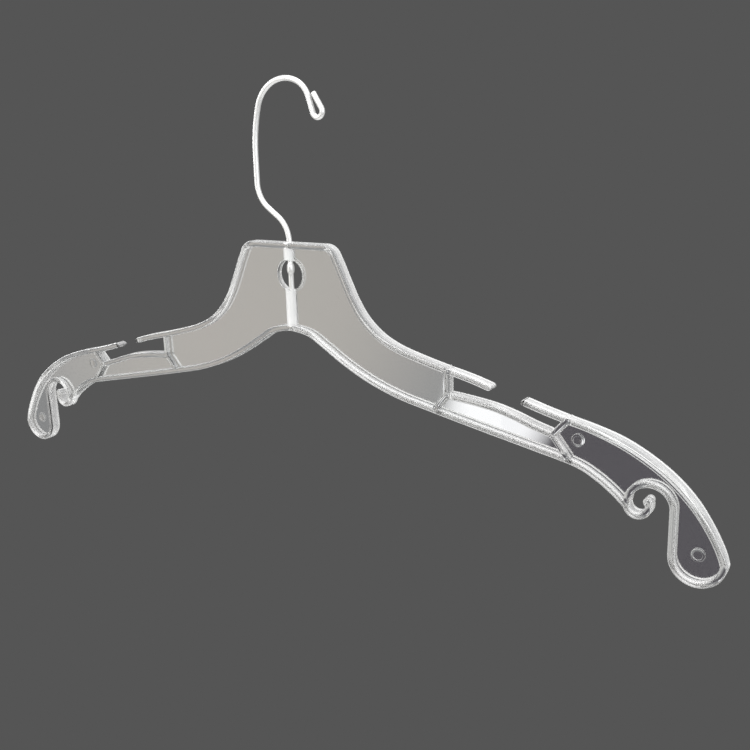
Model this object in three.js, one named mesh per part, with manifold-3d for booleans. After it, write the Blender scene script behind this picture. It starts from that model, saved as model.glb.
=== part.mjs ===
// Clear moulded dress hanger with a swivelling wire hook. Millimetres, +Z up.
// X runs along the shoulders, Y through the thickness. The origin is where the hook sits on a rail.

import * as THREE from 'three';
import { mergeVertices } from 'three/addons/utils/BufferGeometryUtils.js';
import Module from 'manifold-3d';

const wasm = await Module();
wasm.setup();

// ---- driving dimensions -------------------------------------------------------------------------

const HALF_WIDTH = 216;       // 432 mm (17 in) from tip to tip
const RIM_DEPTH = 6.6;        // thickness of the ribs, through the hanger
const SHOULDER_EXTRA = 1.6;   // how much wider the top rib grows where a garment's shoulder rests
const RIB_WIDTH = 3;          // thickness of the ribs, in the plane of the hanger
const WEB_DEPTH = 2;          // the thin wall between the ribs
const COLLAR_BACK = 2.2;      // how far back the ring round the window reaches, from mid-depth

const NECK_HALF_WIDTH = 29.6; // the flat head of the hanger
const NECK_CORNER = 8;        // radius of its corners
const NECK_TOP = 0.9;         // above the level that heights are measured from
const TIP_WIDTH = 24.4;       // the drooping end of each shoulder
const TIP_BOTTOM = -132.3;    // lowest point
const TIP_INNER = HALF_WIDTH - TIP_WIDTH;

const SWELL_START = 152;      // along X, where the top rib begins to widen
const SWELL_FULL = 172;       // where it is at its widest
const SWELL_END = 197;        // and to where
const SWELL_GONE = 211;       // where it is back to the plain thickness

const LIP_INNER_END = 110.5;  // the strap notch opens between the two lips
const LIP_OUTER_END = 125;

const WIRE = 2.6;             // hook wire diameter
const RUNNING_GAP = 0.25;     // round the wire in its bores
const BOSS = 6.4;             // outside diameter of the two wire bosses
const WINDOW_RADIUS = 7.6;
const WINDOW_HEIGHT = -15.2;  // centre of the window
const COLLAR_RADIUS = 8.7;
const TAIL_END = -36.2;       // the wire's lower end
const BORE_END = -38;
const BOSS_BOTTOM = -41;      // inside the rib of the underside
const BEAD = 3.8;             // swaged bead that keeps the wire in
const BEAD_TOP = -9.6;
const BEAD_LENGTH = 5;

const CREST_HEIGHT = 76.4;    // underside of the hook's crest, above the same level

// ---- outlines -----------------------------------------------------------------------------------

const point = (x, z) => new THREE.Vector2(x, z);

/** Points along a smooth curve through hand-placed points. */
function smooth(points, steps) {
  return new THREE.SplineCurve(points.map(([x, z]) => point(x, z))).getPoints(steps);
}

/** Points on an arc, with angles in degrees from +X, anticlockwise positive. */
function arc(x, z, radius, from, to, steps) {
  const points = [];
  for (let i = 0; i <= steps; i++) {
    const angle = THREE.MathUtils.degToRad(from + (to - from) * i / steps);
    points.push(point(x + radius * Math.cos(angle), z + radius * Math.sin(angle)));
  }
  return points;
}

/** Drops points that sit on the one before. */
function tidy(points) {
  return points.filter((p, i) => i === 0 || p.distanceTo(points[i - 1]) > 0.02);
}

/** The same line on the other side of the hanger, running the other way. */
const mirrored = (points) => points.map((p) => point(-p.x, p.y)).reverse();

const half = RIB_WIDTH / 2;

// Centre lines of the ribs on the +X side. The neck's outer edge is half a rib outside its centre line.
const neckEdge = NECK_HALF_WIDTH - half;
const cornerRadius = NECK_CORNER - half;
const neckLine = NECK_TOP - half;
const neckCorner = arc(neckEdge - cornerRadius, neckLine - cornerRadius, cornerRadius, 90, 22, 5);
const armTop = smooth([
  [29.7, -8.7], [33.9, -18], [38.4, -27], [44.2, -35], [52.2, -41.7], [61.9, -46.4], [74, -50], [87.6, -53.4],
], 18);
const innerLip = smooth([[87.6, -53.4], [99, -55.9], [LIP_INNER_END - half, -58.7]], 4);
const innerDivider = [point(87.6, -53.4), point(87.6, -65.2)];
const notchFloor = smooth([[87.6, -65.2], [100, -66.3], [112, -68], [122, -70.6], [131, -73.6], [139.8, -76]], 10);
const outerDivider = [point(139.8, -76), point(146.4, -68.7)];
const outerLip = smooth([[LIP_OUTER_END + half, -63.4], [136, -66.1], [146.4, -68.7]], 4);
const shoulder = smooth([
  [146.4, -68.7], [158.1, -71.4], [170.6, -75.5], [182, -81.2], [192.2, -88.2], [201.2, -97], [207.9, -106.4],
  [212.6, -115.3], [HALF_WIDTH - half, -121],
], 22);

const tipRadius = TIP_WIDTH / 2;
const tipX = HALF_WIDTH - tipRadius;
const tipZ = TIP_BOTTOM + tipRadius;
const tipArc = arc(tipX, tipZ, tipRadius - half, -8, -180, 14);

// The skirt-loop scroll: an arch off the tip's inner rib, which curls under and ends in a bead.
const archRadius = 9.8;
const archX = TIP_INNER + half - archRadius;
const archZ = -100.7;
const archRight = arc(archX, archZ, archRadius, 0, 90, 8);
const curlRadius = 10;
const curlZ = archZ + archRadius - curlRadius;
const archLeft = arc(archX, curlZ, curlRadius, 90, 180, 8);
const bowlRadius = 4.8;
const bowlX = archX - curlRadius + bowlRadius;
const bowl = arc(bowlX, curlZ, bowlRadius, 180, 385, 15);
const scrollBead = 1.9;

const underside = smooth([
  [172.9, -101.6], [168, -97.2], [160, -91.6], [150, -87.1], [130, -82.9], [105, -77.9], [80, -72.7], [62, -68.6],
  [46, -63], [32, -56], [20, -48.6], [11, -43.5], [0, -41.5],
], 30);

const innerFoot = [point(87.6, -65.2), point(82.4, -71.6)];
const outerFoot = [point(139.8, -76), point(146.8, -85.2)];

// The ribs that run on without a corner, each as one centre line.
const rightTop = tidy([...neckCorner, ...armTop, ...innerLip]);
const topRim = [...mirrored(rightTop), ...rightTop];
const shoulderRim = tidy([...outerLip, ...shoulder]);
const tipRim = tidy([...tipArc, ...archRight, ...archLeft, ...bowl]);
const undersideRim = tidy([...underside, ...mirrored(underside)]);

/** The outline of the web, which ends along the middle of the ribs. */
function webOutline() {
  const right = tidy([
    point(0, neckLine), ...neckCorner, ...armTop, ...innerDivider, ...notchFloor, ...outerDivider, ...shoulder,
    ...tipArc, ...archRight, ...archLeft, ...underside,
  ]);
  return [...right, ...mirrored(right.slice(1, -1))];
}

/** A rib's outline: its centre line widened both ways, with round ends. */
function ribbon(line) {
  const normals = line.map((p, i) => {
    const before = line[Math.max(i - 1, 0)];
    const after = line[Math.min(i + 1, line.length - 1)];
    const way = after.clone().sub(before).normalize();
    return point(-way.y, way.x);
  });
  const side = (distance) => line.map((p, i) => p.clone().addScaledVector(normals[i], distance));
  const cap = (end, before) => {
    const way = end.clone().sub(before);
    const ahead = THREE.MathUtils.radToDeg(Math.atan2(way.y, way.x));
    return arc(end.x, end.y, half, ahead + 90, ahead - 90, 6).slice(1, -1);
  };
  return [
    ...side(half), ...cap(line.at(-1), line.at(-2)), ...side(-half).reverse(), ...cap(line[0], line[1]),
  ];
}

// ---- solids -------------------------------------------------------------------------------------

/** A closed geometry as a solid that can be joined and cut. */
function solid(geometry) {
  const bare = geometry.clone();
  bare.deleteAttribute('normal');
  bare.deleteAttribute('uv');
  const merged = mergeVertices(bare, 1e-4);
  return new wasm.Manifold(new wasm.Mesh({
    numProp: 3,
    vertProperties: new Float32Array(merged.attributes.position.array),
    triVerts: new Uint32Array(merged.index.array),
  }));
}

/** The solid's own triangles as a geometry. */
function geometryOf(manifold) {
  const mesh = manifold.getMesh();
  const geometry = new THREE.BufferGeometry();
  geometry.setAttribute('position', new THREE.BufferAttribute(new Float32Array(mesh.vertProperties), 3));
  geometry.setIndex(new THREE.BufferAttribute(new Uint32Array(mesh.triVerts), 1));
  geometry.computeVertexNormals();
  return geometry;
}

/** An outline in the plane of the hanger, as a plate centred on Y = 0. */
function plate(outline, depth) {
  const geometry = new THREE.ExtrudeGeometry(new THREE.Shape(outline), { depth, bevelEnabled: false, steps: 1 });
  geometry.translate(0, 0, -depth / 2);
  geometry.rotateX(Math.PI / 2);
  return solid(geometry);
}

/** A bar along a line in the plane of the hanger, flat at both ends. Its sections are [across, through] pairs. */
function sweep(line, sectionAt) {
  const rings = line.map((p, i) => {
    const before = line[Math.max(i - 1, 0)];
    const after = line[Math.min(i + 1, line.length - 1)];
    const way = after.clone().sub(before).normalize();
    return sectionAt(i).map(([across, through]) => [p.x + way.y * across, through, p.y - way.x * across]);
  });
  const sides = rings[0].length;
  const index = [];
  for (let i = 0; i + 1 < rings.length; i++) {
    for (let j = 0; j < sides; j++) {
      const a = i * sides + j;
      const b = i * sides + (j + 1) % sides;
      index.push(a, b, a + sides, b, b + sides, a + sides);
    }
  }
  const last = (rings.length - 1) * sides;
  for (let j = 1; j + 1 < sides; j++) {
    index.push(0, j + 1, j);
    index.push(last, last + j, last + j + 1);
  }
  const geometry = new THREE.BufferGeometry();
  geometry.setAttribute('position', new THREE.BufferAttribute(new Float32Array(rings.flat(2)), 3));
  geometry.setIndex(index);
  return solid(geometry);
}

/** A round bar standing on the swivel axis, from one height to another. */
function upright(radius, bottom, top, sides) {
  const geometry = new THREE.CylinderGeometry(radius, radius, top - bottom, sides);
  geometry.rotateX(Math.PI / 2);
  geometry.translate(0, 0, (bottom + top) / 2);
  return solid(geometry);
}

/** A disc facing along Y. */
function disc(x, z, radius, depth, sides) {
  const geometry = new THREE.CylinderGeometry(radius, radius, depth, sides);
  geometry.translate(x, 0, z);
  return solid(geometry);
}

const join = (solids) => solids.reduce((all, one) => all.add(one));

/** A rib that the hanger has on each side. */
function bothSides(line) {
  const outline = ribbon(line);
  return [plate(outline, RIM_DEPTH), plate(mirrored(outline), RIM_DEPTH)];
}

/** The stations of a round end, from the last point of a line outwards, each with its half width. */
function roundEnd(end, before) {
  const way = end.clone().sub(before).normalize();
  return [30, 60, 84].map((degrees) => {
    const angle = THREE.MathUtils.degToRad(degrees);
    return { at: end.clone().addScaledVector(way, half * Math.sin(angle)), reach: half * Math.cos(angle) };
  });
}

/** The top rib from the lip to the tip, on one side. It widens through the hanger over the shoulder. */
function shoulderRib(line) {
  const stations = [
    ...roundEnd(line[0], line[1]).reverse(),
    ...line.map((at) => ({ at, reach: half })),
    ...roundEnd(line.at(-1), line.at(-2)),
  ];
  return sweep(stations.map(({ at }) => at), (i) => {
    const { at, reach } = stations[i];
    const rise = THREE.MathUtils.smoothstep(Math.abs(at.x), SWELL_START, SWELL_FULL);
    const fall = THREE.MathUtils.smoothstep(Math.abs(at.x), SWELL_END, SWELL_GONE);
    const deep = (RIM_DEPTH + SHOULDER_EXTRA * rise * (1 - fall)) / 2;
    return [[reach, -deep], [reach, deep], [-reach, deep], [-reach, -deep]];
  });
}

function hangerBody() {
  const web = plate(webOutline(), WEB_DEPTH);
  const ribs = [
    plate(ribbon(topRim), RIM_DEPTH),
    plate(ribbon(undersideRim), RIM_DEPTH),
    shoulderRib(shoulderRim),
    shoulderRib(mirrored(shoulderRim)),
    ...[tipRim, innerDivider, notchFloor, outerDivider, innerFoot, outerFoot].flatMap(bothSides),
  ];
  const bowlEnd = bowl.at(-1);
  const beads = [1, -1].map((side) => disc(side * bowlEnd.x, bowlEnd.y, scrollBead, RIM_DEPTH, 16));
  const collar = disc(0, WINDOW_HEIGHT, COLLAR_RADIUS, COLLAR_BACK + WEB_DEPTH / 2, 40)
    .translate(0, (COLLAR_BACK - WEB_DEPTH / 2) / 2, 0);
  const boss = upright(BOSS / 2, BOSS_BOTTOM, neckLine, 24);
  const window = disc(0, WINDOW_HEIGHT, WINDOW_RADIUS, RIM_DEPTH * 2, 40);
  const bore = upright(WIRE / 2 + RUNNING_GAP, BORE_END, 10, 24);
  return join([web, ...ribs, ...beads, collar, boss]).subtract(window).subtract(bore);
}

// ---- hook ---------------------------------------------------------------------------------------

/** The hook's wire as a forming machine makes it: feeds in mm and bends by radius and degrees. */
const hookForm = [
  { bend: 54, radius: 15 },
  { feed: 7 },
  { bend: -54, radius: 14.8 },
  { feed: 13.4 },
  { bend: -16, radius: 82 },
  { bend: -95.4, radius: 17.3 },
  { bend: -51.6, radius: 12.6 },
  { feed: 7.4 },
  { bend: 195, radius: 2.7 },
  { feed: 8 },
];
const STRAIGHT_TOP = 1;       // the wire is straight up to here
const BEND_STEP = 12;         // degrees of bend between the wire's cross-sections

/** The wire's centre line above the neck, as points in the plane of the hanger. */
function hookLine() {
  const at = point(0, STRAIGHT_TOP);
  let heading = 90;
  const points = [at.clone()];
  const advance = (length) => {
    const angle = THREE.MathUtils.degToRad(heading);
    at.add(point(Math.cos(angle) * length, Math.sin(angle) * length));
    points.push(at.clone());
  };
  for (const step of hookForm) {
    if (step.feed) {
      advance(step.feed);
      continue;
    }
    const parts = Math.max(2, Math.ceil(Math.abs(step.bend) / BEND_STEP));
    const turn = step.bend / parts;
    const chord = 2 * step.radius * Math.sin(THREE.MathUtils.degToRad(Math.abs(turn)) / 2);
    for (let i = 0; i < parts; i++) {
      heading += turn / 2;
      advance(chord);
      heading += turn / 2;
    }
  }
  return points;
}

/** The corners of a round section. */
function circle(radius, sides) {
  return Array.from({ length: sides }, (_, j) => {
    const angle = 2 * Math.PI * j / sides;
    return [radius * Math.cos(angle), radius * Math.sin(angle)];
  });
}

function swivelHook() {
  const wire = WIRE / 2;
  const bead = BEAD / 2;
  const tail = [
    [TAIL_END, wire - 0.5],
    [TAIL_END + 0.5, wire],
    [BEAD_TOP - BEAD_LENGTH, wire],
    [BEAD_TOP - BEAD_LENGTH + 1.2, bead],
    [BEAD_TOP - 0.6, bead],
    [BEAD_TOP, wire],
  ];
  const above = hookLine();
  const line = [...tail.map(([z]) => point(0, z)), ...above];
  const radii = [...tail.map(([, radius]) => radius), ...above.map(() => wire)];
  return sweep(line, (i) => circle(radii[i], 16));
}

// ---- assembly -----------------------------------------------------------------------------------

const clearPlastic = new THREE.MeshStandardMaterial({ color: 0xdfe1e0, roughness: 0.08, metalness: 0 });
const brightWire = new THREE.MeshStandardMaterial({ color: 0xe6e6e4, roughness: 0.18, metalness: 1 });

function part(name, manifold, material) {
  const mesh = new THREE.Mesh(geometryOf(manifold), material);
  mesh.name = name;
  return mesh;
}

const hanger = new THREE.Group();
hanger.position.z = -CREST_HEIGHT;
hanger.add(part('hanger_body', hangerBody(), clearPlastic));
hanger.add(part('swivel_hook', swivelHook(), brightWire));

const root = new THREE.Group();
root.add(hanger);

export default root;
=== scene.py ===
"""Looks for a clear moulded dress hanger with a swivelling wire hook.

Lengths in the outlines are millimetres, and Blender's are metres.
"""

import math

import bmesh
import bpy
from mathutils import Matrix, Vector


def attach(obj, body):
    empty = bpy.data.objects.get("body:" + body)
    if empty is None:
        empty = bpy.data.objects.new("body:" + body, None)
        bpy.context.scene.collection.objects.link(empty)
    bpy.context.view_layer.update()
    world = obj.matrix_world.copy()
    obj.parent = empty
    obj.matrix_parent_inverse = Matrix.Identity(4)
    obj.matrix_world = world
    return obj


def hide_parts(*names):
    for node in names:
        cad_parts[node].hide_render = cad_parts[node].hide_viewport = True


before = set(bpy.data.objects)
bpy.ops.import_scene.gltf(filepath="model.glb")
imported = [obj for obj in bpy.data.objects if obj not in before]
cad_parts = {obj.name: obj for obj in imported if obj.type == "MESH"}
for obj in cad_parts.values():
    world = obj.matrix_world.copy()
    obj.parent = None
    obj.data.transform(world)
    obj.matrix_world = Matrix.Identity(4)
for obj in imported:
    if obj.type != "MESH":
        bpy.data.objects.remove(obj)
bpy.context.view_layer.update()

# ---- sizes, as in the CAD -----------------------------------------------------------------------

CREST_HEIGHT = 76.4  # from the level that heights are measured from up to the rail seat
HALF_WIDTH = 216.0
NECK_HALF_WIDTH = 29.6
NECK_TOP = 0.9
NECK_CORNER = 8.0
RIM_DEPTH = 6.6
SHOULDER_EXTRA = 1.6
SWELL_START, SWELL_FULL, SWELL_END, SWELL_GONE = 152.0, 172.0, 197.0, 211.0
RIB = 3.0
HALF = RIB / 2
WEB_DEPTH = 2.0
COLLAR_BACK = 2.2
TIP_WIDTH = 24.4
TIP_BOTTOM = -132.3
ARCH_RADIUS = 9.8  # the skirt-loop scroll: its arch, the curl under it and the bowl it ends in
ARCH_HEIGHT = -100.7
CURL_RADIUS = 10.0
BOWL_RADIUS = 4.8
SCROLL_BEAD = 1.9
LIP_INNER_END = 110.5
LIP_OUTER_END = 125.0
WIRE = 2.6
BOSS = 6.4
WINDOW_RADIUS = 7.6
WINDOW_HEIGHT = -15.2
COLLAR_RADIUS = 8.7
TAIL_END = -36.2
BORE_END = -38.0
BORE_TOP = 10.0  # clear of the top of the neck
BOSS_BOTTOM = -41.0
BEAD = 3.8
BEAD_TOP = -9.6
BEAD_LENGTH = 5.0
STRAIGHT_TOP = 1.0

# Details that the CAD leaves out.
EDGE = 1.1  # rounding of the ribs' edges
EDGE_STEPS = 6
CAP_STEPS = 7
SNUG = 0.02  # the wire touches its bores by this much
WIRE_CHAMFER = 0.35  # rounding of the wire's ends
PIN_MARKS = ((150.8, -77.2), (203.7, -118.4))  # where ejector pins pushed on the web
PIN_RADIUS = 2.9
PIN_WALL = 0.9  # width of the ring round each mark
PIN_RELIEF = 0.15  # height of that ring

# The finish of the plastic.
WALL_FROST = 0.38  # share of light that the ribs' frosted walls scatter
INNER_FROST = 0.08  # the same, met from inside the plastic
BOSS_CLOUD = 0.62  # the plastic round the wire is cloudy
COLLAR_FROST = 0.5  # the ring's end face is matt


# ---- lines in the plane of the hanger -------------------------------------------------------------


def smooth(points, steps):
    """Points along a smooth curve through given points."""
    out = []
    for k in range(steps + 1):
        t = k / steps * (len(points) - 1)
        i = min(int(t), len(points) - 2)
        w = t - i
        around = [points[min(max(i + j, 0), len(points) - 1)] for j in (-1, 0, 1, 2)]
        xy = []
        for a in (0, 1):
            p0, p1, p2, p3 = (p[a] for p in around)
            v0, v1 = (p2 - p0) / 2, (p3 - p1) / 2
            cubic = (2 * p1 - 2 * p2 + v0 + v1) * w**3 + (-3 * p1 + 3 * p2 - 2 * v0 - v1) * w**2
            xy.append(cubic + v0 * w + p1)
        out.append(tuple(xy))
    return out


def arc(x, z, radius, start, end, steps):
    """Points on an arc, with angles in degrees from +X, anticlockwise positive."""
    angles = [math.radians(start + (end - start) * i / steps) for i in range(steps + 1)]
    return [(x + radius * math.cos(a), z + radius * math.sin(a)) for a in angles]


def tidy(points):
    """Drops points that sit on the one before."""
    out = [points[0]]
    for p in points[1:]:
        if math.dist(p, out[-1]) > 0.05:
            out.append(p)
    return out


def mirrored(points):
    """The same line on the other side of the hanger, running the other way."""
    return [(-x, z) for x, z in reversed(points)]


def way_at(line, i):
    """The unit direction of a line at one of its points."""
    a, b = line[max(i - 1, 0)], line[min(i + 1, len(line) - 1)]
    d = math.dist(a, b)
    return ((b[0] - a[0]) / d, (b[1] - a[1]) / d)


# ---- centre lines of the ribs on the +X side ------------------------------------------------------

neck_line = NECK_TOP - HALF
corner_radius = NECK_CORNER - HALF
neck_corner = arc(
    NECK_HALF_WIDTH - HALF - corner_radius, neck_line - corner_radius, corner_radius, 90, 22, 16
)
arm_top = smooth(
    [
        (29.7, -8.7), (33.9, -18), (38.4, -27), (44.2, -35), (52.2, -41.7), (61.9, -46.4),
        (74, -50), (87.6, -53.4),
    ],
    120,
)
inner_lip = smooth([(87.6, -53.4), (99, -55.9), (LIP_INNER_END - HALF, -58.7)], 30)
inner_divider = [(87.6, -53.4), (87.6, -65.2)]
notch_floor = smooth(
    [(87.6, -65.2), (100, -66.3), (112, -68), (122, -70.6), (131, -73.6), (139.8, -76)], 80
)
outer_divider = [(139.8, -76), (146.4, -68.7)]
outer_lip = smooth([(LIP_OUTER_END + HALF, -63.4), (136, -66.1), (146.4, -68.7)], 28)
shoulder = smooth(
    [
        (146.4, -68.7), (158.1, -71.4), (170.6, -75.5), (182, -81.2), (192.2, -88.2), (201.2, -97),
        (207.9, -106.4), (212.6, -115.3), (HALF_WIDTH - HALF, -121),
    ],
    140,
)

tip_x = HALF_WIDTH - TIP_WIDTH / 2
tip_z = TIP_BOTTOM + TIP_WIDTH / 2
tip_arc = arc(tip_x, tip_z, TIP_WIDTH / 2 - HALF, -8, -180, 64)
arch_x = HALF_WIDTH - TIP_WIDTH + HALF - ARCH_RADIUS
tip_inner = [(arch_x + ARCH_RADIUS, tip_z + (ARCH_HEIGHT - tip_z) * k / 24) for k in range(1, 24)]
arch_right = arc(arch_x, ARCH_HEIGHT, ARCH_RADIUS, 0, 90, 32)
curl_z = ARCH_HEIGHT + ARCH_RADIUS - CURL_RADIUS
arch_left = arc(arch_x, curl_z, CURL_RADIUS, 90, 180, 32)
bowl = arc(arch_x - CURL_RADIUS + BOWL_RADIUS, curl_z, BOWL_RADIUS, 180, 385, 48)

underside = smooth(
    [
        (172.9, -101.6), (168, -97.2), (160, -91.6), (150, -87.1), (130, -82.9), (105, -77.9), (80, -72.7),
        (62, -68.6), (46, -63), (32, -56), (20, -48.6), (11, -43.5), (0, -41.5),
    ],
    320,
)
inner_foot = [(87.6, -65.2), (82.4, -71.6)]
outer_foot = [(139.8, -76), (146.8, -85.2)]

right_top = tidy(neck_corner + arm_top + inner_lip)
top_rim = mirrored(right_top) + right_top
upper_rim = tidy(outer_lip + shoulder)
shoulder_rim = tidy(upper_rim + tip_arc + tip_inner + arch_right + arch_left + bowl)
underside_rim = tidy(underside + mirrored(underside))
web_right = tidy(
    [(0, neck_line)] + neck_corner + arm_top + inner_divider + notch_floor + outer_divider + shoulder
    + tip_arc + tip_inner + arch_right + arch_left + underside
)
web_outline = web_right + mirrored(web_right[1:-1])


# ---- meshes -------------------------------------------------------------------------------------


def at(x, y, z):
    """A point given in millimetres from the neck top, in the frame's metres."""
    return (x / 1000, y / 1000, (z - CREST_HEIGHT) / 1000)


def ramp(value, low, high):
    """0 below low, 1 above high, and a smooth step between."""
    t = min(max((value - low) / (high - low), 0), 1)
    return t * t * (3 - 2 * t)


def new_object(name, verts, faces):
    mesh = bpy.data.meshes.new(name)
    mesh.from_pydata(verts, [], faces)
    mesh.validate()
    bm = bmesh.new()
    bm.from_mesh(mesh)
    bmesh.ops.recalc_face_normals(bm, faces=bm.faces)
    bm.to_mesh(mesh)
    bm.free()
    obj = bpy.data.objects.new(name, mesh)
    bpy.context.scene.collection.objects.link(obj)
    return obj


def skin(name, rings):
    """A closed surface over rings of the same number of points."""
    m = len(rings[0])
    verts = [v for r in rings for v in r]
    faces = [
        (i * m + j, i * m + (j + 1) % m, (i + 1) * m + (j + 1) % m, (i + 1) * m + j)
        for i in range(len(rings) - 1)
        for j in range(m)
    ]
    faces.append(tuple(range(m)))
    faces.append(tuple(range((len(rings) - 1) * m, len(rings) * m)))
    return new_object(name, verts, faces)


def rib(line, swelling=0):
    """A bar with rounded edges and round ends along a line. Its first few points may swell."""
    ways = [way_at(line, i) for i in range(len(line))]

    def ring(p, way, squeeze, deep):
        out = []
        for sx, sy, start in ((1, -1, -90), (1, 1, 0), (-1, 1, 90), (-1, -1, 180)):
            for k in range(EDGE_STEPS + 1):
                a = math.radians(start + 90 * k / EDGE_STEPS)
                across = (sx * (HALF - EDGE) + EDGE * math.cos(a)) * squeeze
                through = sy * (deep - EDGE) + EDGE * math.sin(a)
                out.append(at(p[0] - way[1] * across, through, p[1] + way[0] * across))
        return out

    def round_end(p, way):
        """Rings from the tip of a round end back to the line's last point."""
        rings = []
        for k in range(CAP_STEPS):
            a = math.radians(4 + 86 * k / CAP_STEPS)
            tip = (p[0] + way[0] * HALF * math.cos(a), p[1] + way[1] * HALF * math.cos(a))
            rings.append(ring(tip, way, math.sin(a), RIM_DEPTH / 2))
        return rings

    def half_depth(i):
        if i >= swelling:
            return RIM_DEPTH / 2
        x = abs(line[i][0])
        swell = ramp(x, SWELL_START, SWELL_FULL) * (1 - ramp(x, SWELL_END, SWELL_GONE))
        return (RIM_DEPTH + SHOULDER_EXTRA * swell) / 2

    rings = []
    for r in round_end(line[0], (-ways[0][0], -ways[0][1])):
        m = len(r)
        rings.append([r[(m // 2 - 1 - j) % m] for j in range(m)])
    rings += [ring(line[i], ways[i], 1.0, half_depth(i)) for i in range(len(line))]
    rings += reversed(round_end(line[-1], ways[-1]))
    return skin("rib", rings)


def plate(outline, depth):
    """An outline in the plane of the hanger, as a plate centred on Y = 0."""
    n = len(outline)
    verts = [at(x, -depth / 2, z) for x, z in outline] + [at(x, depth / 2, z) for x, z in outline]
    faces = [tuple(range(n)), tuple(range(2 * n - 1, n - 1, -1))]
    faces += [(i, i + n, (i + 1) % n + n, (i + 1) % n) for i in range(n)]
    return new_object("plate", verts, faces)


def turned(profile, sides, place):
    """A closed solid of revolution from (radius, height) pairs; place maps a local point to the frame."""
    turns = [2 * math.pi * j / sides for j in range(sides)]
    return skin("turned", [[place(r * math.cos(a), r * math.sin(a), h) for a in turns] for r, h in profile])


def disc(x, z, radius, depth, edge, sides=72):
    """A disc facing along Y, with rounded rims."""
    quarter = [math.radians(90 * k / 4) for k in range(5)]
    rim = [(radius - edge + edge * math.sin(a), depth / 2 - edge + edge * math.cos(a)) for a in quarter]
    profile = [(r, -h) for r, h in rim] + [(r, h) for r, h in reversed(rim)]
    return turned(profile, sides, lambda u, v, h: at(x + u, h, z + v))


def upright(radius, bottom, top, sides=40):
    """A round bar standing on the swivel axis."""
    return turned([(radius, bottom), (radius, top)], sides, lambda u, v, h: at(u, v, h))


def combine(target, others, operation):
    """Joins the others to the target, or cuts them out of it, and removes them."""
    for other in others:
        step = target.modifiers.new("step", "BOOLEAN")
        step.operation = operation
        step.solver = "MANIFOLD"
        step.object = other
    depsgraph = bpy.context.evaluated_depsgraph_get()
    mesh = bpy.data.meshes.new_from_object(target.evaluated_get(depsgraph))
    target.modifiers.clear()
    target.data = mesh
    mesh.materials.clear()
    for other in others:
        bpy.data.objects.remove(other)


def both_sides(line, swelling=0):
    """The same rib on both sides of the hanger."""
    right_rib = rib(line, swelling)
    left_rib = right_rib.copy()
    left_rib.data = right_rib.data.copy()
    for vert in left_rib.data.vertices:
        vert.co.x = -vert.co.x
    left_rib.data.flip_normals()
    bpy.context.scene.collection.objects.link(left_rib)
    return [right_rib, left_rib]


def make_body():
    made = rib(top_rim)
    parts = [plate(web_outline, WEB_DEPTH), rib(underside_rim), *both_sides(shoulder_rim, len(upper_rim))]
    for line in (inner_divider, notch_floor, outer_divider, inner_foot, outer_foot):
        parts += both_sides(line)
    for side in (1, -1):
        parts.append(disc(side * bowl[-1][0], bowl[-1][1], SCROLL_BEAD, RIM_DEPTH, 0.9, 32))
        for x, z in PIN_MARKS:
            parts.append(disc(side * x, z, PIN_RADIUS, WEB_DEPTH + 2 * PIN_RELIEF, 0.12, 48))
    collar = disc(0, WINDOW_HEIGHT, COLLAR_RADIUS, COLLAR_BACK + WEB_DEPTH / 2, 0.45)
    collar.data.transform(Matrix.Translation((0, (COLLAR_BACK - WEB_DEPTH / 2) / 2000, 0)))
    parts.append(collar)
    parts.append(upright(BOSS / 2, BOSS_BOTTOM, neck_line))
    combine(made, parts, "UNION")

    window = disc(0, WINDOW_HEIGHT, WINDOW_RADIUS, 12, 0.1)
    bore = upright(WIRE / 2 - SNUG, BORE_END, BORE_TOP)
    pins = [disc(side * x, z, PIN_RADIUS - PIN_WALL, 0.5, 0.12, 48) for side in (1, -1) for x, z in PIN_MARKS]
    for pin in pins:
        pin.data.transform(Matrix.Translation((0, -0.00125, 0)))
    combine(made, [window, bore, *pins], "DIFFERENCE")
    made.name = made.data.name = "clear_body"
    return made


# ---- hook -----------------------------------------------------------------------------------------

# The wire as a forming machine makes it: feeds in mm, and bends by degrees and radius.
hook_form = [
    ("bend", 54, 15), ("feed", 7), ("bend", -54, 14.8), ("feed", 13.4), ("bend", -16, 82),
    ("bend", -95.4, 17.3), ("bend", -51.6, 12.6), ("feed", 7.4), ("bend", 195, 2.7), ("feed", 8),
]


def hook_line():
    """The wire's centre line above the neck."""
    x, z, heading = 0.0, STRAIGHT_TOP, 90.0
    points = [(x, z)]
    for step in hook_form:
        if step[0] == "feed":
            parts, turn, length = 3, 0.0, step[1] / 3
        else:
            degrees_a_step = 2 if step[2] > 5 else 9
            parts = max(4, math.ceil(abs(step[1]) / degrees_a_step))
            turn = step[1] / parts
            length = 2 * step[2] * math.sin(math.radians(abs(turn)) / 2)
        for _ in range(parts):
            heading += turn / 2
            x += length * math.cos(math.radians(heading))
            z += length * math.sin(math.radians(heading))
            heading += turn / 2
            points.append((x, z))
    return points


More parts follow.
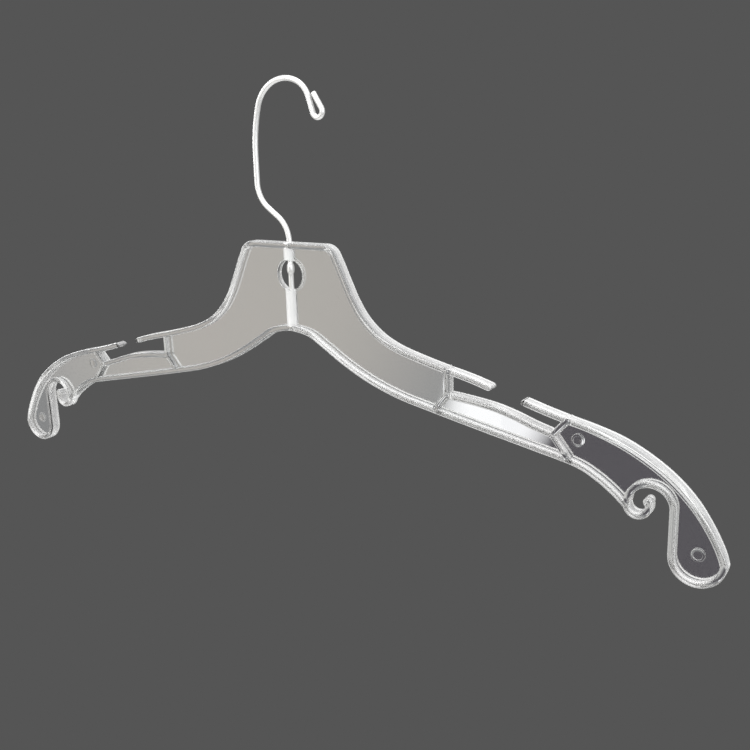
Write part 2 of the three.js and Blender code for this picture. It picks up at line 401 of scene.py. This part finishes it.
def make_hook():
    wire, bead = WIRE / 2, BEAD / 2
    tail = [(TAIL_END, 0.35), (TAIL_END + 0.12, wire - 0.45), (TAIL_END + 0.6, wire)]
    tail += [(TAIL_END + 0.6 + 1.5 * k, wire) for k in range(1, 14)]
    for k in range(13):
        t = k / 12
        swell = math.sin(math.pi * t) ** 0.45
        tail.append((BEAD_TOP - BEAD_LENGTH + BEAD_LENGTH * t, wire + (bead - wire) * swell))
    tail += [(BEAD_TOP + 1.3 * k, wire) for k in range(1, 9)]
    above = hook_line()
    line = [(0.0, z) for z, _ in tail] + above
    radii = [r for _, r in tail] + [wire] * len(above)
    turns = [2 * math.pi * j / 40 for j in range(40)]

    def ring(p, way, r):
        across = [r * math.cos(t) for t in turns]
        return [at(p[0] + way[1] * u, r * math.sin(t), p[1] - way[0] * u) for u, t in zip(across, turns)]

    rings = [ring(p, way_at(line, i), radii[i]) for i, p in enumerate(line)]
    end, way = line[-1], way_at(line, len(line) - 1)
    for k in range(1, 5):
        a = math.radians(90 * k / 4)
        reach = WIRE_CHAMFER * math.sin(a)
        rings.append(
            ring(
                (end[0] + way[0] * reach, end[1] + way[1] * reach), way,
                wire - WIRE_CHAMFER + WIRE_CHAMFER * math.cos(a),
            )
        )
    return skin("wire_hook", rings)


body = make_body()
hook = make_hook()

for piece, sharp_angle in ((body, 28), (hook, 40)):
    piece.data.polygons.foreach_set("use_smooth", [True] * len(piece.data.polygons))
    piece.data.polygons.foreach_set("material_index", [0] * len(piece.data.polygons))
    piece.data.set_sharp_from_angle(angle=math.radians(sharp_angle))


# ---- materials ------------------------------------------------------------------------------------


def material(name):
    made = bpy.data.materials.new(name)
    made.use_nodes = True
    return made, made.node_tree.nodes, made.node_tree.links, made.node_tree.nodes["Principled BSDF"]


def clear_plastic():
    """Polished on its faces, slightly frosted on the walls that slide along the mould."""
    made, nodes, links, shader = material("clear_polystyrene")
    shader.inputs["IOR"].default_value = 1.59
    place = nodes.new("ShaderNodeTexCoord")

    def math_node(operation, first, second=0.0):
        step = nodes.new("ShaderNodeMath")
        step.operation = operation
        for socket, value in zip(step.inputs, (first, second)):
            if isinstance(value, float):
                socket.default_value = value
            else:
                links.new(value, socket)
        return step.outputs["Value"]

    def spread(value, low, high, to_low, to_high):
        step = nodes.new("ShaderNodeMapRange")
        links.new(value, step.inputs["Value"])
        for name, number in (("From Min", low), ("From Max", high), ("To Min", to_low), ("To Max", to_high)):
            step.inputs[name].default_value = number
        return step.outputs["Result"]

    def noise(scale, detail):
        cloud = nodes.new("ShaderNodeTexNoise")
        cloud.inputs["Scale"].default_value = scale
        cloud.inputs["Detail"].default_value = detail
        links.new(place.outputs["Object"], cloud.inputs["Vector"])
        return cloud.outputs["Fac"]

    def within(radius, first, second, amount):
        """The amount within a radius in millimetres of an axis, and 0 outside it."""
        squared = math_node("ADD", math_node("POWER", first, 2.0), math_node("POWER", second, 2.0))
        return spread(squared, (radius * 1.04 / 1000) ** 2, (radius / 1000) ** 2, 0.0, amount)

    # Frost: on walls rather than faces, uneven, less on undersides, and less met from inside.
    facing = nodes.new("ShaderNodeSeparateXYZ")
    links.new(place.outputs["Normal"], facing.inputs[0])
    wall = spread(math_node("ABSOLUTE", facing.outputs["Y"]), 0.85, 0.15, 0.0, 1.0)
    haze = noise(160, 4)
    frost = math_node("MULTIPLY", wall, spread(haze, 0.3, 0.7, 0.8, 1.0))
    frost = math_node("MULTIPLY", frost, spread(facing.outputs["Z"], -0.4, 0.1, 0.45, 1.0))
    side = nodes.new("ShaderNodeNewGeometry").outputs["Backfacing"]
    frost = math_node("MULTIPLY", frost, spread(side, 0.0, 1.0, WALL_FROST, INNER_FROST))

    # The cloudy bosses, and the matt end of the ring round the window.
    spot = nodes.new("ShaderNodeSeparateXYZ")
    links.new(place.outputs["Object"], spot.inputs[0])
    cloudy = within(BOSS / 2, spot.outputs["X"], spot.outputs["Y"], BOSS_CLOUD)
    frost = math_node("MAXIMUM", frost, cloudy)
    from_window = math_node("ADD", spot.outputs["Z"], (CREST_HEIGHT - WINDOW_HEIGHT) / 1000)
    ring = within(COLLAR_RADIUS + 0.1, spot.outputs["X"], from_window, COLLAR_FROST)
    at_back = spread(
        spot.outputs["Y"], (COLLAR_BACK - 0.5) / 1000, (COLLAR_BACK - 0.2) / 1000, 0.0, 1.0
    )
    frost = math_node("MAXIMUM", frost, math_node("MULTIPLY", ring, at_back))
    links.new(math_node("SUBTRACT", 1.0, frost), shader.inputs["Transmission Weight"])

    tint = nodes.new("ShaderNodeValToRGB")
    tint.color_ramp.elements[0].color = (0.95, 0.975, 0.965, 1)
    tint.color_ramp.elements[1].color = (0.99, 0.965, 0.97, 1)
    links.new(noise(28, 3), tint.inputs["Fac"])
    links.new(tint.outputs["Color"], shader.inputs["Base Color"])

    polish = spread(haze, 0.3, 0.7, 0.02, 0.06)
    rough = math_node("ADD", polish, math_node("MULTIPLY", wall, 0.22))
    links.new(rough, shader.inputs["Roughness"])

    ripple = nodes.new("ShaderNodeBump")
    ripple.inputs["Strength"].default_value = 0.12
    ripple.inputs["Distance"].default_value = 0.0004
    links.new(noise(45, 2), ripple.inputs["Height"])
    links.new(ripple.outputs["Normal"], shader.inputs["Normal"])
    return made


def bright_wire():
    """Bright plated steel with a fine drawn grain."""
    made, nodes, links, shader = material("bright_plated_wire")
    shader.inputs["Metallic"].default_value = 0.8
    place = nodes.new("ShaderNodeTexCoord")
    grain = nodes.new("ShaderNodeTexNoise")
    grain.inputs["Scale"].default_value = 900
    grain.inputs["Detail"].default_value = 3
    links.new(place.outputs["Object"], grain.inputs["Vector"])
    tint = nodes.new("ShaderNodeValToRGB")
    tint.color_ramp.elements[0].color = (0.72, 0.72, 0.715, 1)
    tint.color_ramp.elements[1].color = (0.80, 0.80, 0.795, 1)
    links.new(grain.outputs["Fac"], tint.inputs["Fac"])
    links.new(tint.outputs["Color"], shader.inputs["Base Color"])
    rough = nodes.new("ShaderNodeMapRange")
    rough.inputs["To Min"].default_value = 0.32
    rough.inputs["To Max"].default_value = 0.44
    links.new(grain.outputs["Fac"], rough.inputs["Value"])
    links.new(rough.outputs["Result"], shader.inputs["Roughness"])
    return made


body.data.materials.append(clear_plastic())
hook.data.materials.append(bright_wire())

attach(body, "hanger")
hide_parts("hanger_body")
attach(hook, "hook")
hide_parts("swivel_hook")


# ---- camera -----------------------------------------------------------------------------------------

CAMERA_PLACE = (0.2939, -0.3769, -0.0169)
YAW, PITCH, ROLL = (math.radians(v) for v in (33.148, 14.961, -1.719))
FOCAL_LENGTH = 46.5744  # on a sensor 36 mm wide

camera = bpy.data.objects.new("camera", bpy.data.cameras.new("camera"))
bpy.context.scene.collection.objects.link(camera)
bpy.context.scene.camera = camera
ahead = Vector((-math.sin(YAW) * math.cos(PITCH), math.cos(YAW) * math.cos(PITCH), -math.sin(PITCH)))
level = Vector((math.cos(YAW), math.sin(YAW), 0))
upward = level.cross(ahead)
right = math.cos(ROLL) * level + math.sin(ROLL) * upward
up = -math.sin(ROLL) * level + math.cos(ROLL) * upward
camera.matrix_world = (
    Matrix.Translation(CAMERA_PLACE) @ Matrix((right, up, -ahead)).transposed().to_4x4()
)
camera.data.sensor_width = 36
camera.data.lens = FOCAL_LENGTH
camera.data.clip_start = 0.01
camera.data.clip_end = 20


# ---- floor ------------------------------------------------------------------------------------------

FLOOR_HEIGHT = -1.1  # the hanger is held up, as on a rail
FLOOR_RADIUS = 950
FLOOR_DEPTH = 4


def make_floor():
    made = disc(0, 0, FLOOR_RADIUS, FLOOR_DEPTH, 1, 96)
    made.name = "floor"
    to_origin = Matrix.Translation((0, 0, CREST_HEIGHT / 1000))
    flat = Matrix.Rotation(math.pi / 2, 4, "X")
    made.matrix_world = Matrix.Translation((0, 0, FLOOR_HEIGHT)) @ flat @ to_origin
    pale, nodes, links, shader = material("pale_floor")
    grain = nodes.new("ShaderNodeTexNoise")
    grain.inputs["Scale"].default_value = 6
    tint = nodes.new("ShaderNodeValToRGB")
    tint.color_ramp.elements[0].color = (0.70, 0.70, 0.69, 1)
    tint.color_ramp.elements[1].color = (0.76, 0.76, 0.75, 1)
    links.new(grain.outputs["Fac"], tint.inputs["Fac"])
    links.new(tint.outputs["Color"], shader.inputs["Base Color"])
    shader.inputs["Roughness"].default_value = 0.8
    made.data.materials.append(pale)
    return made


make_floor()


# ---- light ------------------------------------------------------------------------------------------

LIGHT_AIM = (0, 0, -0.12)
SOFTBOXES = (  # name, place, width, height, radiance, colour
    ("light_front_left", (-1.05, -1.3, -0.35), 1.0, 0.9, 1.3, (1, 0.96, 0.90)),
    ("light_front_high", (-0.5, -1.5, 0.65), 1.6, 0.7, 4, (1, 1, 1)),
    ("light_front_right", (1.5, -1.1, 0.2), 1.2, 0.9, 2.4, (0.95, 0.97, 1)),
    ("light_top", (0.1, 0.1, 1.3), 1.6, 1.2, 2.4, (1, 1, 1)),
    ("light_right", (1.5, -0.1, 0.3), 0.8, 1.2, 2.4, (0.95, 0.97, 1)),
    ("light_left", (-1.6, 0.3, 0.3), 0.8, 1.2, 4, (1, 1, 1)),
)
SEEN_BACKGROUND = (0.0908, 0.0908, 0.0908, 1)
TENT_SIDE = (0.50, 0.50, 0.49)
TENT_TOP = (1.0, 1.0, 1.0)
TENT_PATCHES = (  # direction, degrees where a patch is whole and where it ends, radiance
    ((0, 0, -1), 35, 60, (0.85, 0.85, 0.85)),  # below
    ((-0.52, 0.82, -0.25), 22, 36, (0.20, 0.205, 0.21)),  # a dim wall behind the hanger
    ((-0.643, 0.747, -0.168), 1, 14, (0.345, 0.328, 0.305)),  # a warm glow on it, behind the head
    ((-0.268, 0.892, -0.364), 5.6, 6.9, (0.055, 0.05, 0.062)),  # a dark spot behind the right shoulder
    ((-0.414, 0.860, -0.297), 1.6, 3.7, (1.0, 1.01, 1.03)),  # a bright spot behind the right notch
)


def softbox(name, place, width, height, radiance, colour):
    data = bpy.data.lights.new(name, "AREA")
    data.shape = "RECTANGLE"
    data.size, data.size_y = width, height
    data.energy = radiance * math.pi * width * height
    data.color = colour
    lamp = bpy.data.objects.new(name, data)
    bpy.context.scene.collection.objects.link(lamp)
    lamp.location = place
    lamp.rotation_mode = "QUATERNION"
    lamp.rotation_quaternion = (Vector(LIGHT_AIM) - Vector(place)).to_track_quat("-Z", "Y")
    lamp.visible_camera = lamp.visible_transmission = False


def studio_world():
    """A pale tent round the hanger, with a dim part behind it. The camera itself sees plain grey."""
    world = bpy.data.worlds.new("studio")
    bpy.context.scene.world = world
    world.use_nodes = True
    nodes, links = world.node_tree.nodes, world.node_tree.links
    seen = nodes["Background"]
    seen.inputs["Color"].default_value = SEEN_BACKGROUND
    place = nodes.new("ShaderNodeTexCoord")

    def near(way, inner, outer):
        """1 within inner degrees of a direction, falling to 0 at outer degrees."""
        dot = nodes.new("ShaderNodeVectorMath")
        dot.operation = "DOT_PRODUCT"
        links.new(place.outputs["Generated"], dot.inputs[0])
        dot.inputs[1].default_value = Vector(way).normalized()
        soft = nodes.new("ShaderNodeMapRange")
        soft.interpolation_type = "SMOOTHSTEP"
        soft.inputs["From Min"].default_value = math.cos(math.radians(outer))
        soft.inputs["From Max"].default_value = math.cos(math.radians(inner))
        links.new(dot.outputs["Value"], soft.inputs["Value"])
        return soft.outputs["Result"]

    def blend(mask, below, above):
        mix = nodes.new("ShaderNodeMix")
        mix.data_type = "RGBA"
        links.new(mask, mix.inputs["Factor"])
        for socket, value in ((mix.inputs["A"], below), (mix.inputs["B"], above)):
            if isinstance(value, tuple):
                socket.default_value = (*value, 1)
            else:
                links.new(value, socket)
        return mix.outputs["Result"]

    tent = blend(near((0, 0, 1), 45, 80), TENT_SIDE, TENT_TOP)
    for way, inner, outer, colour in TENT_PATCHES:
        tent = blend(near(way, inner, outer), tent, colour)
    lit = nodes.new("ShaderNodeBackground")
    links.new(tent, lit.inputs["Color"])
    path = nodes.new("ShaderNodeLightPath")
    choose = nodes.new("ShaderNodeMixShader")
    links.new(path.outputs["Is Camera Ray"], choose.inputs["Fac"])
    links.new(lit.outputs["Background"], choose.inputs[1])
    links.new(seen.outputs["Background"], choose.inputs[2])
    links.new(choose.outputs["Shader"], nodes["World Output"].inputs["Surface"])


for lamp_settings in SOFTBOXES:
    softbox(*lamp_settings)
studio_world()
bpy.context.scene.view_settings.view_transform = "Standard"
bpy.context.scene.cycles.max_bounces = 32
bpy.context.scene.cycles.transmission_bounces = 32
